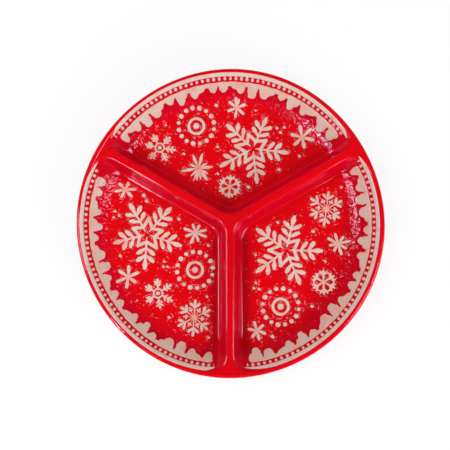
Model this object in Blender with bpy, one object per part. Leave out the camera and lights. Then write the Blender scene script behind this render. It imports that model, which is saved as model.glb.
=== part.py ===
"""A round stoneware serving dish, 305 mm across, with three wells parted by a three-armed divider.

The fired body is split where a potter would draw its parts: foot ring, three floors, a divider hub
with three arms, three outer walls and a rim. Lengths are metres, +Z is up, and the origin is the
middle of the foot ring's resting face. One well faces +Y, and one arm of the divider points to -Y.
"""

import math

import bmesh
import bpy

# Overall sizes
OUTER_DIAMETER = 0.305
TOTAL_HEIGHT = 0.036
BODY_THICKNESS = 0.006  # of the floors and of the outer wall, measured square to the surface

# Foot ring
FOOT_HEIGHT = 0.005  # from the resting face to the underside of the floors
FOOT_RING_INSET = 0.018  # from the edge of the flat floors in to the middle of the ring's width
FOOT_RING_WIDTH = 0.008
FOOT_EDGE_ROUNDING = 0.0015
FOOT_RING_FLARE = 0.002  # how much wider the ring is at its root, on each side

# Floors and outer wall
WALL_RUN = 0.0405  # plan width of the outer wall, from the edge of the flat floors to the outer edge
WALL_FLARE = 0.0125  # how much wider that is than the radius of the sweep from floor to wall

# Divider
CREST_WIDTH = 0.0042
CREST_BELOW_RIM = 0.0006
DIVIDER_SIDE_RUN = 0.0113  # plan width of each sloping side
CREST_EDGE_RADIUS = 0.0024
DIVIDER_FOOT_RADIUS = 0.0036
HUB_CORNER_ROUNDING = 0.0105  # softens each well's corner at the hub
RIM_CORNER_ROUNDING = 0.020  # softens each well's two corners at the rim, where the crest flares

# The joints between neighbouring nodes
JOINT_GAP = 0.0003

# Counts and shares that set how finely curves are drawn
ARMS = 3
RING_STEPS = 96
WELL_COLUMNS = 22
WALL_ARC_ROWS = 5
WALL_LINE_ROWS = 3
ARM_FLOOR_ROWS = 4
ARM_LINE_ROWS = 7
CREST_COLUMNS = 4  # across the flat crest of an arm
HUB_COLUMNS = 12  # across each of the hub's three hollows
SECTION_ARC_STEPS = 3
LIP_ARC_STEPS = 10
HALVINGS = 30  # of the searches for a contour
END_COLUMN_SHARES = (0.0, 0.009, 0.019, 0.031, 0.045, 0.062)  # of a well's width, beside the divider
WIDEST_CREST_SHARE = 0.94  # of an arm's half width, where the crest meets the rim
FOOT_BLEND_SHARE = 0.5  # of the wells' depth: how softly divider and outer wall run together
SHARP_ANGLE = math.radians(35)
MERGE_DISTANCE = 0.00001

# Finishes: linear colour and roughness
RED_FLOOR_GLAZE = ((0.62, 0.004, 0.010), 0.16)
RED_WALL_GLAZE = ((0.66, 0.005, 0.010), 0.14)
RED_DIVIDER_GLAZE = ((0.70, 0.002, 0.006), 0.10)
RED_RIM_GLAZE = ((0.68, 0.003, 0.008), 0.12)
BARE_CLAY = ((0.62, 0.50, 0.38), 0.85)

# Directions, in degrees about +Z from +X
ARM_ANGLES = {"upper_left": 150.0, "lower": 270.0, "upper_right": 30.0}
WELL_ANGLES = {"top": 90.0, "left": 210.0, "right": 330.0}  # each well's middle line
HALF_WELL = math.pi / ARMS

# Sizes that follow from those above
HALF_GAP = JOINT_GAP / 2
LIP_RADIUS = BODY_THICKNESS / 2
UNDERSIDE_Z = FOOT_HEIGHT
FLOOR_Z = FOOT_HEIGHT + BODY_THICKNESS
CREST_Z = TOTAL_HEIGHT - CREST_BELOW_RIM
WALL_FILLET_RADIUS = WALL_RUN - WALL_FLARE  # of the sweep, on the upper side
FLAT_RADIUS = OUTER_DIAMETER / 2 - WALL_RUN  # inside this the floors are flat
FOOT_RING_RADIUS = FLAT_RADIUS - FOOT_RING_INSET
LIP_CENTRE_R = OUTER_DIAMETER / 2 - LIP_RADIUS
LIP_CENTRE_Z = TOTAL_HEIGHT - LIP_RADIUS
SWEEP_CENTRE_Z = FLOOR_Z + WALL_FILLET_RADIUS
SWEEP_OUTSIDE_RADIUS = WALL_FILLET_RADIUS + BODY_THICKNESS


def wall_slope():
    """Angle of the straight part of the outer wall: tangent to the sweep, aimed at the lip's centre."""
    run = LIP_CENTRE_R - FLAT_RADIUS
    drop = SWEEP_CENTRE_Z - LIP_CENTRE_Z
    middle_radius = WALL_FILLET_RADIUS + LIP_RADIUS
    return math.atan2(run, drop) - math.acos(middle_radius / math.hypot(run, drop))


WALL_SLOPE = wall_slope()
RIM_JOINT_R = LIP_CENTRE_R - LIP_RADIUS * math.sin(WALL_SLOPE)

FOOT_OFFSET = CREST_WIDTH / 2 + DIVIDER_SIDE_RUN  # from an arm's middle line to where its side ends
HUB_RADIUS = math.hypot(
    (FOOT_OFFSET * (1 - math.cos(HALF_WELL)) + HUB_CORNER_ROUNDING) / math.sin(HALF_WELL),
    FOOT_OFFSET,
)  # wide enough to hold all of the rounded corners


def swept_height(radius, arc_radius, flat_z):
    """Height at a radius of a surface that is flat, sweeps up on an arc and ends as a straight slope."""
    beyond = radius - FLAT_RADIUS
    if beyond <= 0:
        return flat_z
    arc_end = arc_radius * math.sin(WALL_SLOPE)
    if beyond <= arc_end:
        return SWEEP_CENTRE_Z - math.sqrt(arc_radius**2 - beyond**2)
    return (
        SWEEP_CENTRE_Z
        - arc_radius * math.cos(WALL_SLOPE)
        + (beyond - arc_end) * math.tan(WALL_SLOPE)
    )


def bowl_height(radius):
    return swept_height(radius, WALL_FILLET_RADIUS, FLOOR_Z)


def under_height(radius):
    return swept_height(radius, SWEEP_OUTSIDE_RADIUS, UNDERSIDE_Z)


def divider_section():
    """(offset, height) down one side of the divider: edge arc, straight side, foot arc."""
    fall = CREST_Z - FLOOR_Z
    both = CREST_EDGE_RADIUS + DIVIDER_FOOT_RADIUS
    steep = math.atan2(fall - both, DIVIDER_SIDE_RUN) + math.asin(
        both / math.hypot(DIVIDER_SIDE_RUN, fall - both)
    )
    points = []
    for step in range(SECTION_ARC_STEPS + 1):
        turn = steep * step / SECTION_ARC_STEPS
        points.append(
            (
                CREST_WIDTH / 2 + CREST_EDGE_RADIUS * math.sin(turn),
                CREST_Z - CREST_EDGE_RADIUS * (1 - math.cos(turn)),
            )
        )
    for step in range(SECTION_ARC_STEPS, -1, -1):
        turn = steep * step / SECTION_ARC_STEPS
        points.append(
            (
                FOOT_OFFSET - DIVIDER_FOOT_RADIUS * math.sin(turn),
                FLOOR_Z + DIVIDER_FOOT_RADIUS * (1 - math.cos(turn)),
            )
        )
    return points


SECTION = divider_section()


def divider_height(offset):
    """Height of the divider at a distance from its middle line."""
    if offset <= SECTION[0][0]:
        return CREST_Z
    for (near, high), (far, low) in zip(SECTION, SECTION[1:]):
        if offset <= far:
            return high + (low - high) * (offset - near) / (far - near)
    return FLOOR_Z


def soft_min(first, second, reach):
    """The smaller value, eased where the two are closer to each other than reach."""
    overlap = reach - abs(first - second)
    if overlap <= 0:
        return min(first, second)
    return min(first, second) - overlap**2 / (4 * reach)


def divider_offset(x, y):
    """Distance from the divider's middle line, eased so that the wells get rounded corners."""
    distances = []
    for angle in ARM_ANGLES.values():
        along = x * math.cos(math.radians(angle)) + y * math.sin(math.radians(angle))
        across = y * math.cos(math.radians(angle)) - x * math.sin(math.radians(angle))
        distances.append(abs(across) if along > 0 else math.hypot(x, y))
    near, second = sorted(distances)[:2]
    between_arms = soft_min(near, second, HUB_CORNER_ROUNDING)
    from_lip = CREST_WIDTH / 2 + LIP_CENTRE_R - math.hypot(x, y)
    return soft_min(between_arms, from_lip, RIM_CORNER_ROUNDING)


def surface_height(x, y):
    """Height of the dish's upper surface inside the rim: the higher of bowl and divider, blended."""
    depth = CREST_Z - FLOOR_Z
    below_bowl = (CREST_Z - min(bowl_height(math.hypot(x, y)), CREST_Z)) / depth
    below_divider = (CREST_Z - divider_height(divider_offset(x, y))) / depth
    nearer = min(below_bowl, below_divider)
    blend = FOOT_BLEND_SHARE * 4 * nearer * (1 - nearer)  # none at the crest and on the floor
    return CREST_Z - depth * soft_min(below_bowl, below_divider, blend)


def material(name, colour, roughness):
    made = bpy.data.materials.new(name)
    made.use_nodes = True
    shader = made.node_tree.nodes["Principled BSDF"]
    shader.inputs["Base Color"].default_value = (*colour, 1.0)
    shader.inputs["Roughness"].default_value = roughness
    shader.inputs["Metallic"].default_value = 0.0
    return made


def add_object(name, mesh, finish):
    mesh.materials.append(finish)
    mesh.shade_smooth()
    mesh.set_sharp_from_angle(angle=SHARP_ANGLE)
    placed = bpy.data.objects.new(name, mesh)
    bpy.context.scene.collection.objects.link(placed)
    return placed


def slab(name, plan, finish):
    """A closed solid over a plan grid: rows of (x, y), with the dish's upper and lower surface."""
    shape = bmesh.new()
    rows = len(plan)
    columns = len(plan[0])
    top = [[shape.verts.new((x, y, surface_height(x, y))) for x, y in row] for row in plan]
    low = [[shape.verts.new((x, y, under_height(math.hypot(x, y)))) for x, y in row] for row in plan]
    for row in range(rows - 1):
        for column in range(columns - 1):
            corners = ((row, column), (row + 1, column), (row + 1, column + 1), (row, column + 1))
            shape.faces.new([top[i][j] for i, j in corners])
            shape.faces.new([low[i][j] for i, j in reversed(corners)])
    edge = [(0, j) for j in range(columns)]
    edge += [(i, columns - 1) for i in range(1, rows)]
    edge += [(rows - 1, j) for j in range(columns - 2, -1, -1)]
    edge += [(i, 0) for i in range(rows - 2, 0, -1)]
    for (i, j), (k, m) in zip(edge, edge[1:] + edge[:1]):
        shape.faces.new([top[i][j], top[k][m], low[k][m], low[i][j]])
    bmesh.ops.recalc_face_normals(shape, faces=shape.faces)
    mesh = bpy.data.meshes.new(name)
    shape.to_mesh(mesh)
    shape.free()
    return add_object(name, mesh, finish)


def turned(name, profile, finish):
    """A ring from a closed profile of (radius, height) points, turned once round +Z."""
    mesh = bpy.data.meshes.new(name)
    edges = [(i, (i + 1) % len(profile)) for i in range(len(profile))]
    mesh.from_pydata([(radius, 0, height) for radius, height in profile], edges, [])
    ring = add_object(name, mesh, finish)
    screw = ring.modifiers.new("turn", "SCREW")
    screw.steps = RING_STEPS
    screw.render_steps = RING_STEPS
    screw.use_merge_vertices = True
    screw.merge_threshold = MERGE_DISTANCE
    screw.use_smooth_shade = True
    return ring


def wall_radii(line_rows):
    """Radii of the rows of an outer wall, from the flat floor's edge to the rim's joint."""
    arc_run = WALL_FILLET_RADIUS * math.sin(WALL_SLOPE)
    radii = [FLAT_RADIUS + arc_run * row / WALL_ARC_ROWS for row in range(WALL_ARC_ROWS + 1)]
    straight = RIM_JOINT_R - radii[-1]
    radii += [radii[-1] + straight * (row + 1) / line_rows for row in range(line_rows)]
    return inset_ends(radii)


def inset_ends(radii):
    return [radii[0] + HALF_GAP, *radii[1:-1], radii[-1] - HALF_GAP]


def well_row(radius, middle, shares):
    """Points on an arc across one well, between the sides of its two arms."""
    side = math.asin((FOOT_OFFSET + HALF_GAP) / radius)
    reach = HALF_WELL - side
    angles = [math.radians(middle) + reach * (2 * share - 1) for share in shares]
    return [(radius * math.cos(angle), radius * math.sin(angle)) for angle in angles]


def column_shares():
    """Shares across a well, close together beside the divider and even in between."""
    last = END_COLUMN_SHARES[-1]
    inner = 1 - 2 * last
    middle = [last + inner * step / WELL_COLUMNS for step in range(1, WELL_COLUMNS)]
    return [*END_COLUMN_SHARES, *middle, *(1 - share for share in reversed(END_COLUMN_SHARES))]


def crest_edge(angle, radius):
    """Half the width of an arm's flat crest at a radius: it flares where it runs into the rim."""
    narrow = 0.0
    wide = FOOT_OFFSET
    for _ in range(HALVINGS):
        middle = (narrow + wide) / 2
        turned_by = angle + math.asin(middle / radius)
        if divider_offset(radius * math.cos(turned_by), radius * math.sin(turned_by)) < CREST_WIDTH / 2:
            narrow = middle
        else:
            wide = middle
    return min(wide, FOOT_OFFSET * WIDEST_CREST_SHARE)


def arm_rows(angle):
    """Rows of (x, y) across one arm, from the hub's joint to the rim's joint."""
    side = FOOT_OFFSET - HALF_GAP
    section_shares = [(offset - CREST_WIDTH / 2) / DIVIDER_SIDE_RUN for offset, _ in SECTION]
    reach = FLAT_RADIUS - HUB_RADIUS
    radii = [HUB_RADIUS + reach * row / ARM_FLOOR_ROWS for row in range(ARM_FLOOR_ROWS)]
    radii[0] += HALF_GAP
    radii += [FLAT_RADIUS, *wall_radii(ARM_LINE_ROWS)[1:]]
    rows = []
    for radius in radii:
        crest = crest_edge(angle, radius)
        offsets = [crest + (side - crest) * share for share in section_shares]
        inner = [crest * (2 * column / CREST_COLUMNS - 1) for column in range(1, CREST_COLUMNS)]
        row = []
        for across in [-offset for offset in reversed(offsets)] + inner + offsets:
            turned_by = angle + math.asin(across / radius)
            row.append((radius * math.cos(turned_by), radius * math.sin(turned_by)))
        rows.append(row)
    return rows


def contour_radius(angle, offset, outer):
    """How far out a ray from the middle meets the line that runs at an offset from the divider."""
    inside = 0.0
    outside = outer
    for _ in range(HALVINGS):
        middle = (inside + outside) / 2
        if divider_offset(middle * math.cos(angle), middle * math.sin(angle)) < offset:
            inside = middle
        else:
            outside = middle
    return outside


def hub_hollow(shape, middle, outer):
    """One of the hub's hollows: rows down the divider's side, round the corner of one well.

    Returns the crest's row and the points along the hub's edge, in order round the hollow.
    """
    rows = []
    for offset, height in SECTION:
        reach = HALF_WELL - math.asin(offset / outer)
        row = []
        for column in range(HUB_COLUMNS + 1):
            angle = middle + reach * (2 * column / HUB_COLUMNS - 1)
            radius = contour_radius(angle, offset, outer)
            row.append(shape.verts.new((radius * math.cos(angle), radius * math.sin(angle), height)))
        rows.append(row)
    foot = rows[-1]
    arc = [foot[0]]
    for column in range(1, HUB_COLUMNS):
        angle = middle + reach * (2 * column / HUB_COLUMNS - 1)
        arc.append(shape.verts.new((outer * math.cos(angle), outer * math.sin(angle), FLOOR_Z)))
    arc.append(foot[-1])
    rows.append(arc)
    for upper, lower in zip(rows, rows[1:]):
        for column in range(HUB_COLUMNS):
            corners = [upper[column], lower[column], lower[column + 1], upper[column + 1]]
            shape.faces.new(dict.fromkeys(corners))
    edge = [row[0] for row in rows[:-1]] + arc[1:-1] + [row[-1] for row in reversed(rows[:-1])]
    return rows[0], edge


def hub(finish):
    """The middle of the divider: a flat crest, three hollows round it and a round outline."""
    shape = bmesh.new()
    outer = HUB_RADIUS - HALF_GAP
    crest = []
    edge = []
    for middle in sorted(WELL_ANGLES.values()):
        crest_row, hollow_edge = hub_hollow(shape, math.radians(middle), outer)
        arm = math.radians(middle) + HALF_WELL
        arm_middle = shape.verts.new((outer * math.cos(arm), outer * math.sin(arm), CREST_Z))
        crest += [*crest_row, arm_middle]
        edge += [*hollow_edge, arm_middle]
    shape.faces.new(crest)
    low = [shape.verts.new((point.co.x, point.co.y, UNDERSIDE_Z)) for point in edge]
    shape.faces.new(reversed(low))
    for point in range(len(edge)):
        after = (point + 1) % len(edge)
        shape.faces.new([edge[point], low[point], low[after], edge[after]])
    bmesh.ops.recalc_face_normals(shape, faces=shape.faces)
    mesh = bpy.data.meshes.new("divider_hub")
    shape.to_mesh(mesh)
    shape.free()
    return add_object("divider_hub", mesh, finish)


def rim(finish):
    """The lip: a half-round top on the end of the outer wall, cut square where the walls meet it."""
    inner = RIM_JOINT_R + HALF_GAP
    start = math.asin((inner - LIP_CENTRE_R) / LIP_RADIUS)
    end = math.pi - WALL_SLOPE
    profile = []
    for step in range(LIP_ARC_STEPS + 1):
        turn = start + (end - start) * step / LIP_ARC_STEPS
        profile.append(
            (LIP_CENTRE_R + LIP_RADIUS * math.sin(turn), LIP_CENTRE_Z + LIP_RADIUS * math.cos(turn))
        )
    profile.append((inner, under_height(inner)))
    return turned("rim", profile, finish)


def foot_ring(finish):
    """A low ring with a flat resting face, rounded edges and sides that flare towards its root."""
    half = FOOT_RING_WIDTH / 2
    outside = [(half + FOOT_RING_FLARE, FOOT_HEIGHT - JOINT_GAP)]
    for step in range(SECTION_ARC_STEPS + 1):
        turn = math.pi / 2 * step / SECTION_ARC_STEPS
        across = half - FOOT_EDGE_ROUNDING * (1 - math.cos(turn))
        outside.append((across, FOOT_EDGE_ROUNDING * (1 - math.sin(turn))))
    profile = [(FOOT_RING_RADIUS + across, height) for across, height in outside]
    profile += [(FOOT_RING_RADIUS - across, height) for across, height in reversed(outside)]
    return turned("foot_ring", profile, finish)


def build():
    for leftover in list(bpy.data.objects):
        bpy.data.objects.remove(leftover, do_unlink=True)

    red_floor = material("red_glaze_floor", *RED_FLOOR_GLAZE)
    red_wall = material("red_glaze_wall", *RED_WALL_GLAZE)
    red_divider = material("red_glaze_divider", *RED_DIVIDER_GLAZE)
    red_rim = material("red_glaze_rim", *RED_RIM_GLAZE)

    foot_ring(material("bare_clay", *BARE_CLAY))
    floor_radii = inset_ends([HUB_RADIUS, FLAT_RADIUS])
    for well, middle in WELL_ANGLES.items():
        shares = column_shares()
        floor_plan = [well_row(radius, middle, shares) for radius in floor_radii]
        slab("floor_" + well, floor_plan, red_floor)
        wall_plan = [well_row(radius, middle, shares) for radius in wall_radii(WALL_LINE_ROWS)]
        slab("outer_wall_" + well, wall_plan, red_wall)
    for arm, angle in ARM_ANGLES.items():
        slab("divider_" + arm, arm_rows(math.radians(angle)), red_divider)
    hub(red_divider)
    rim(red_rim)


build()
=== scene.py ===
"""Looks of the divided serving dish: relief ornament, slip and glaze, studio and camera.

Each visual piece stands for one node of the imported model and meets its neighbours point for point.
Shapes are worked out in millimetres in the model's frame and become metres when a mesh is made.
"""

from collections import namedtuple
from math import acos, asin, atan2, ceil, cos, hypot, pi, radians, sin, tan

import bpy
import numpy as np
from mathutils import Matrix


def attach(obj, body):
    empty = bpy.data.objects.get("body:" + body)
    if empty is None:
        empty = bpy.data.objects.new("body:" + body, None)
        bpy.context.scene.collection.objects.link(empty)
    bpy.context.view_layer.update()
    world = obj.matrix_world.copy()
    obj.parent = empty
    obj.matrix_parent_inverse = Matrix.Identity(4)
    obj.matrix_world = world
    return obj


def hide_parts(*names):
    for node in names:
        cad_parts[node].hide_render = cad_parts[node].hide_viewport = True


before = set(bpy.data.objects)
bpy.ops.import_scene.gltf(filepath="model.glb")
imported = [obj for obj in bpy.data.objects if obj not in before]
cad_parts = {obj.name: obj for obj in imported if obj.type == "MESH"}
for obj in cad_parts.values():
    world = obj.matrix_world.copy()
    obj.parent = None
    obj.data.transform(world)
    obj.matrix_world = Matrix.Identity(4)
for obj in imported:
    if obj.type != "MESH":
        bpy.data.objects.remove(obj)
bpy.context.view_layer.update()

MM = 0.001
FULL_TURN = 2 * pi

# Sizes of the dish, the same as in the model, in millimetres
FLAT_R = 112.0
SWEEP = 28.0
BODY = 6.0
FLOOR_Z = 11.0
UNDER_Z = 5.0
SWEEP_Z = 39.0
CREST_Z = 35.4
CREST = 2.1
SIDE_RUN = 11.3
FOOT = CREST + SIDE_RUN
EDGE_ARC = 2.4
FOOT_ARC = 3.6
HUB_SOFT = 10.5
RIM_SOFT = 20.0
FOOT_BLEND = 0.5
LIP = 3.0
LIP_R = 149.5
LIP_Z = 33.0
RING_R = 94.0
RING_HALF = 4.0
RING_FLARE = 2.0
RING_EDGE = 1.5
ARM_ANGLES = {"upper_left": 150.0, "lower": 270.0, "upper_right": 30.0}
WELL_ANGLES = {"top": 90.0, "left": 210.0, "right": 330.0}
HALF_WELL = pi / 3

# How the fired rim departs from a circle: waves around it, size in millimetres, direction of a peak
LEAN = ((2, 0.45, -77.0), (3, 0.35, -34.0), (4, 0.42, -11.0))

# Spacing and counts of the meshes' points
FINE = 0.42
HUB_FINE = 0.26
ROUGH = 2.6
SIDE_COLUMNS = 38
CREST_COLUMNS = 6
ROUGH_COLUMNS = 8
HALVINGS = 30  # of the span that is searched for a crest's half width
LIP_ROWS = 22
LIP_FINE_END = radians(55)  # the lip's outer side beyond this is plain
LIP_LOW_ROWS = 8
LIP_LOW_POINTS = 960
RING_STEPS = 8
RING_POINTS = 480
STENCIL = 0.14  # how far to each side heights are compared for a slope

# Where the map for baking has the upper side, the lower side and the joints, bottom to top
MAP_BANDS = ((0.005, 0.70), (0.71, 0.96), (0.97, 0.995))
MAP_EDGE = 0.005


def wall_slope():
    """The slope of the wall's straight part, which touches both the sweep and the lip."""
    run = LIP_R - FLAT_R
    drop = SWEEP_Z - LIP_Z
    return atan2(run, drop) - acos((SWEEP + LIP) / hypot(run, drop))


SLOPE = wall_slope()
JOINT_R = LIP_R - LIP * sin(SLOPE)
HUB_R = hypot((FOOT * (1 - cos(HALF_WELL)) + HUB_SOFT) / sin(HALF_WELL), FOOT)


# The dish's plain surface

def swept(radius, arc):
    """Height of the bowl (arc SWEEP) or of the underside (arc SWEEP + BODY) at a radius."""
    beyond = np.maximum(radius - FLAT_R, 0.0)
    arc_end = arc * sin(SLOPE)
    on_arc = SWEEP_Z - np.sqrt(arc**2 - np.minimum(beyond, arc_end) ** 2)
    return on_arc + np.maximum(beyond - arc_end, 0.0) * tan(SLOPE)


def divider_height(offset):
    """Height of the divider at a distance from its middle line: crest, edge, side and foot."""
    fall = CREST_Z - FLOOR_Z
    both = EDGE_ARC + FOOT_ARC
    steep = atan2(fall - both, SIDE_RUN) + asin(both / hypot(SIDE_RUN, fall - both))
    run, drop = sin(steep), 1 - cos(steep)
    out = np.clip(offset - CREST, 0.0, EDGE_ARC * run)
    edge = CREST_Z - EDGE_ARC + np.sqrt(EDGE_ARC**2 - out**2)
    into = np.clip(FOOT - offset, 0.0, FOOT_ARC * run)
    foot = FLOOR_Z + FOOT_ARC - np.sqrt(FOOT_ARC**2 - into**2)
    top_end, low_end = CREST + EDGE_ARC * run, FOOT - FOOT_ARC * run
    top_z, low_z = CREST_Z - EDGE_ARC * drop, FLOOR_Z + FOOT_ARC * drop
    share = (offset - top_end) / (low_end - top_end)
    side = top_z + (low_z - top_z) * share
    return np.where(offset < top_end, edge, np.where(offset > low_end, foot, side))


def share_of(value, whole):
    """value as a share of whole, kept between 0 and 1."""
    return np.clip(value / whole, 0, 1)


def soft_min(first, second, reach):
    """The smaller of two values, rounded off where they differ by less than reach."""
    overlap = np.maximum(reach - np.abs(first - second), 0.0)
    return np.minimum(first, second) - overlap**2 / (4 * np.maximum(reach, 1e-9))


def divider_offset(x, y):
    """Distance from the divider's middle line, eased in the wells' corners as in the model."""
    radius = np.hypot(x, y)
    distances = []
    for angle in ARM_ANGLES.values():
        dx, dy = turned(angle, 1)
        distances.append(np.where(x * dx + y * dy > 0, np.abs(y * dx - x * dy), radius))
    nearest = np.sort(distances, axis=0)
    between_arms = soft_min(nearest[0], nearest[1], HUB_SOFT)
    return soft_min(between_arms, CREST + LIP_R - radius, RIM_SOFT)


def plain_height(x, y):
    """Height of the inside: the bowl or the divider, whichever is higher, eased where they meet."""
    depth = CREST_Z - FLOOR_Z
    below_bowl = (CREST_Z - np.minimum(swept(np.hypot(x, y), SWEEP), CREST_Z)) / depth
    below_divider = (CREST_Z - divider_height(divider_offset(x, y))) / depth
    nearer = np.minimum(below_bowl, below_divider)
    blend = FOOT_BLEND * 4 * nearer * (1 - nearer)
    return CREST_Z - depth * soft_min(below_bowl, below_divider, blend)


# Ornament: every motif is a set of strokes (ax, ay, bx, by, half width at a, half width at b)

FAR = 6.0  # distances beyond this don't matter


def turned(angle, along):
    """The place at a distance along a direction, in degrees."""
    return along * cos(radians(angle)), along * sin(radians(angle))


def ray(angle, start, end, near, far):
    return (*turned(angle, start), *turned(angle, end), near, far)


def leaf(x, y, angle, length, half, tip=0.76):
    """A leaf: narrow at its root, widest past its middle; tip is its half width at the end, of half."""
    dx, dy = turned(angle, 1)
    middle, end = 0.62 * length, length - tip * half
    return [
        (x, y, x + dx * middle, y + dy * middle, 0.36 * half, half),
        (x + dx * middle, y + dy * middle, x + dx * end, y + dy * end, half, tip * half),
    ]


def circle(radius, half, steps=28):
    points = [turned(360 * i / steps, radius) for i in range(steps + 1)]
    return [(*a, *b, half, half) for a, b in zip(points, points[1:])]


def dot(x, y, radius):
    return (x, y, x + 0.01, y, radius, radius)


def medallion(first_dot):
    """A dot in a ring, in a circle of dots."""
    strokes = circle(7.85, 1.45) + [dot(0, 0, 3.2)]
    for i in range(16):
        size = 2.3 + 0.22 * sin(2.4 * i)
        strokes.append(dot(*turned(first_dot + 22.5 * i, 18.4), size))
    return strokes


def asterisk(arms, half):
    """Separate arms that swell outwards: (angle, length) each."""
    half = half + 0.28
    strokes = []
    for angle, length in arms:
        middle = 0.6 * length
        strokes.append(ray(angle, 0.6, middle, 0.55 * half, half))
        strokes.append(ray(angle, middle, length - 0.85 * half, half, 0.92 * half))
    return strokes


def burst(petals):
    """Long petals, parted nearly to the middle: (angle, length, half width) each."""
    strokes = []
    for angle, length, half in petals:
        widest = 0.60 * length
        strokes.append(ray(angle, 1.0, widest, 0.5, 1.2 * half))
        strokes.append(ray(angle, widest, length - 0.6 * half, 1.2 * half, 0.6 * half))
    return strokes


def ring_flake(arms):
    """Arms with two pairs of short barbs each, round a small ring."""
    strokes = circle(4.5, 0.9, 20) + [dot(0, 0, 2.1)]
    stem = 0.9
    for angle, length in arms:
        strokes.append(ray(angle, 5.0, length - 1.1, stem, stem))
        strokes.append(dot(*turned(angle, length - 1.1), 1.25 * stem + 0.2))
        for out, reach, spread, half in ((7.4, 3.3, 52, 1.0), (0.64 * length, 3.7, 48, 1.1)):
            x, y = turned(angle, out)
            for side in (-1, 1):
                dx, dy = turned(angle + side * spread, reach)
                strokes.append((x, y, x + dx, y + dy, 0.8 * half, half))
        strokes.append(dot(*turned(angle, length - 1.6), 1.5))
    return strokes


def rosette(first, radius):
    """Six spokes that flare into a ring, with three pointed teeth outside each."""
    strokes = circle(radius - 2.7, 0.85, 30)
    for i in range(6):
        angle = first + 60 * i
        strokes.append(ray(angle, 0, 0.55 * radius, 0.85, 1.25))
        strokes.append(ray(angle, 0.55 * radius, radius - 2.8, 1.25, 1.7))
        strokes.append(ray(angle, radius - 3.0, radius - 0.5, 1.5, 0.9))
        for side in (-1, 1):
            root, tip = turned(angle + 9 * side, 0.62 * radius), turned(angle + 19 * side, radius - 2.9)
            strokes.append((*root, *tip, 0.75, 1.0))
            strokes.append(ray(angle + 18 * side, radius - 2.8, radius - 1.2, 1.2, 0.85))
    return strokes


def trefoil(angle, fork, length, stem, side_length, half):
    """A stem with a pair of side leaves at its fork and one at its end."""
    strokes = [ray(angle, 0, fork, stem, stem)]
    strokes += leaf(*turned(angle, fork), angle, length - fork, half)
    for side in (-1, 1):
        strokes += leaf(*turned(angle, fork - 0.8), angle + 47 * side, side_length, half)
    return strokes


def feather_flake(arms):
    """Six leafy arms with a small sprig between each two."""
    strokes = [dot(0, 0, 2.7)]
    for (angle, length), (after, _) in zip(arms, (*arms[1:], arms[0])):
        reach = 1.05 * length
        strokes += trefoil(angle, 0.57 * reach, reach, 0.68, 0.41 * reach, 1.62)
        between = angle - ((angle - after) % 360) / 2
        strokes += trefoil(between, 7.6, 11.4, 0.42, 3.1, 1.05)
    return strokes


def great_flake(arms, points):
    """Five leafy arms round the outline of a star. arms and points are (angle, length) pairs."""
    strokes = []
    inner = [turned(angle, 7.9) for angle, _ in arms]
    outer = [turned(angle, length) for angle, length in points]
    for i in range(5):
        for a, b in ((inner[i], outer[i]), (outer[i], inner[(i + 1) % 5])):
            strokes.append((*a, *b, 1.72, 1.72))
    for angle, length in arms:
        strokes.append(ray(angle, 3.4, 8.0, 0.55, 1.2))
        strokes.append(ray(angle, 8.0, 0.70 * length, 1.15, 0.9))
        for out, half in ((0.383, 2.3), (0.587, 2.45)):
            for side in (-1, 1):
                strokes += leaf(*turned(angle, out * length), angle + 53 * side, 11.7, half)
        strokes += leaf(*turned(angle, 0.63 * length), angle, 0.375 * length, 2.65, 0.62)
    return strokes


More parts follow.
